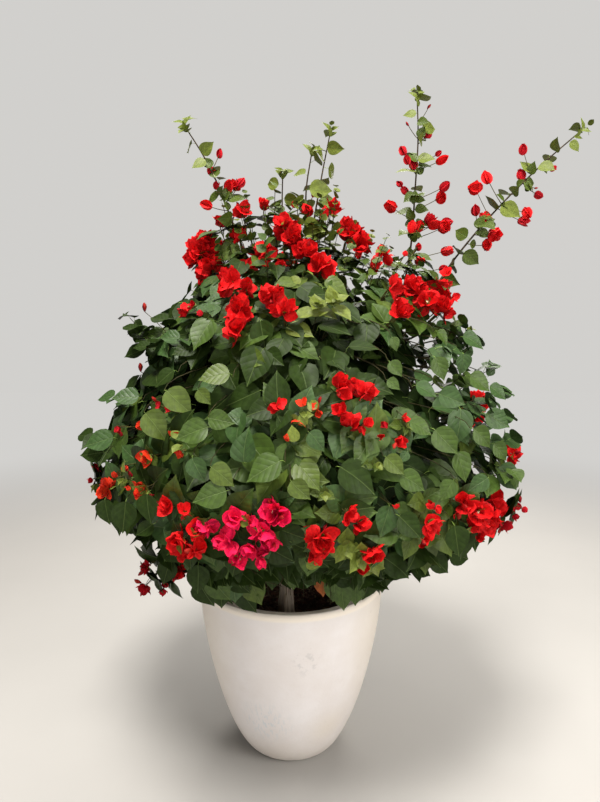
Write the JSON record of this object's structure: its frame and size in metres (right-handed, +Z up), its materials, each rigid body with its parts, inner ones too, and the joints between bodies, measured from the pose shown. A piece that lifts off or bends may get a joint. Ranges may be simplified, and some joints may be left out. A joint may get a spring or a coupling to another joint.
{
  "type": "potted flowering shrub",
  "caption": "Bougainvillea bush with a dense leafy crown, red bracts and long upright shoots, growing from one trunk in a tall round tapering planter.",
  "frame": {"origin": "centre of the planter's flat underside", "axes": "+Z up along the planter's axis, +X to the right as the bush is pictured, -Y towards the viewer"},
  "size_m": [1.3559, 1.1674, 1.9141],
  "materials": {
    "pot": "matte off-white paint over fired clay, scuffed",
    "soil": "dry crumbly dark brown earth",
    "bark": "rough grey-brown bark",
    "leaf": "satin green leaves",
    "shoot": "young yellow-green stems and leaves",
    "bract": "thin papery red bracts"
  },
  "bodies": {
    "root": {"pot": "pot", "soil": "soil", "trunk": "bark", "bough_low_1": "bark", "bough_low_2": "bark", "bough_low_3": "bark", "bough_low_4": "bark", "bough_low_5": "bark", "bough_low_6": "bark", "bough_mid_1": "bark", "bough_mid_2": "bark", "bough_mid_3": "bark", "bough_mid_4": "bark", "bough_mid_5": "bark", "bough_high_1": "bark", "bough_high_2": "bark", "bough_high_3": "bark", "bough_high_4": "bark", "foliage_low_1": "leaf", "foliage_low_2": "leaf", "foliage_low_3": "leaf", "foliage_low_4": "leaf", "foliage_low_5": "leaf", "foliage_low_6": "leaf", "foliage_mid_1": "leaf", "foliage_mid_2": "leaf", "foliage_mid_3": "leaf", "foliage_mid_4": "leaf", "foliage_mid_5": "leaf", "foliage_high_1": "leaf", "foliage_high_2": "leaf", "foliage_high_3": "leaf", "foliage_high_4": "leaf", "foliage_top": "leaf", "shoot_left": "shoot", "shoot_short": "shoot", "shoot_middle": "shoot", "shoot_upright": "shoot", "shoot_tall": "shoot", "shoot_leaning": "shoot", "blossom_1": "bract", "blossom_2": "bract", "blossom_3": "bract", "blossom_4": "bract", "blossom_5": "bract", "blossom_6": "bract", "blossom_7": "bract", "blossom_8": "bract", "blossom_9": "bract", "blossom_10": "bract", "blossom_11": "bract", "blossom_12": "bract", "blossom_13": "bract", "blossom_14": "bract", "blossom_15": "bract", "blossom_16": "bract", "blossom_17": "bract", "blossom_18": "bract", "blossom_19": "bract", "blossom_20": "bract"}
  },
  "joints": []
}
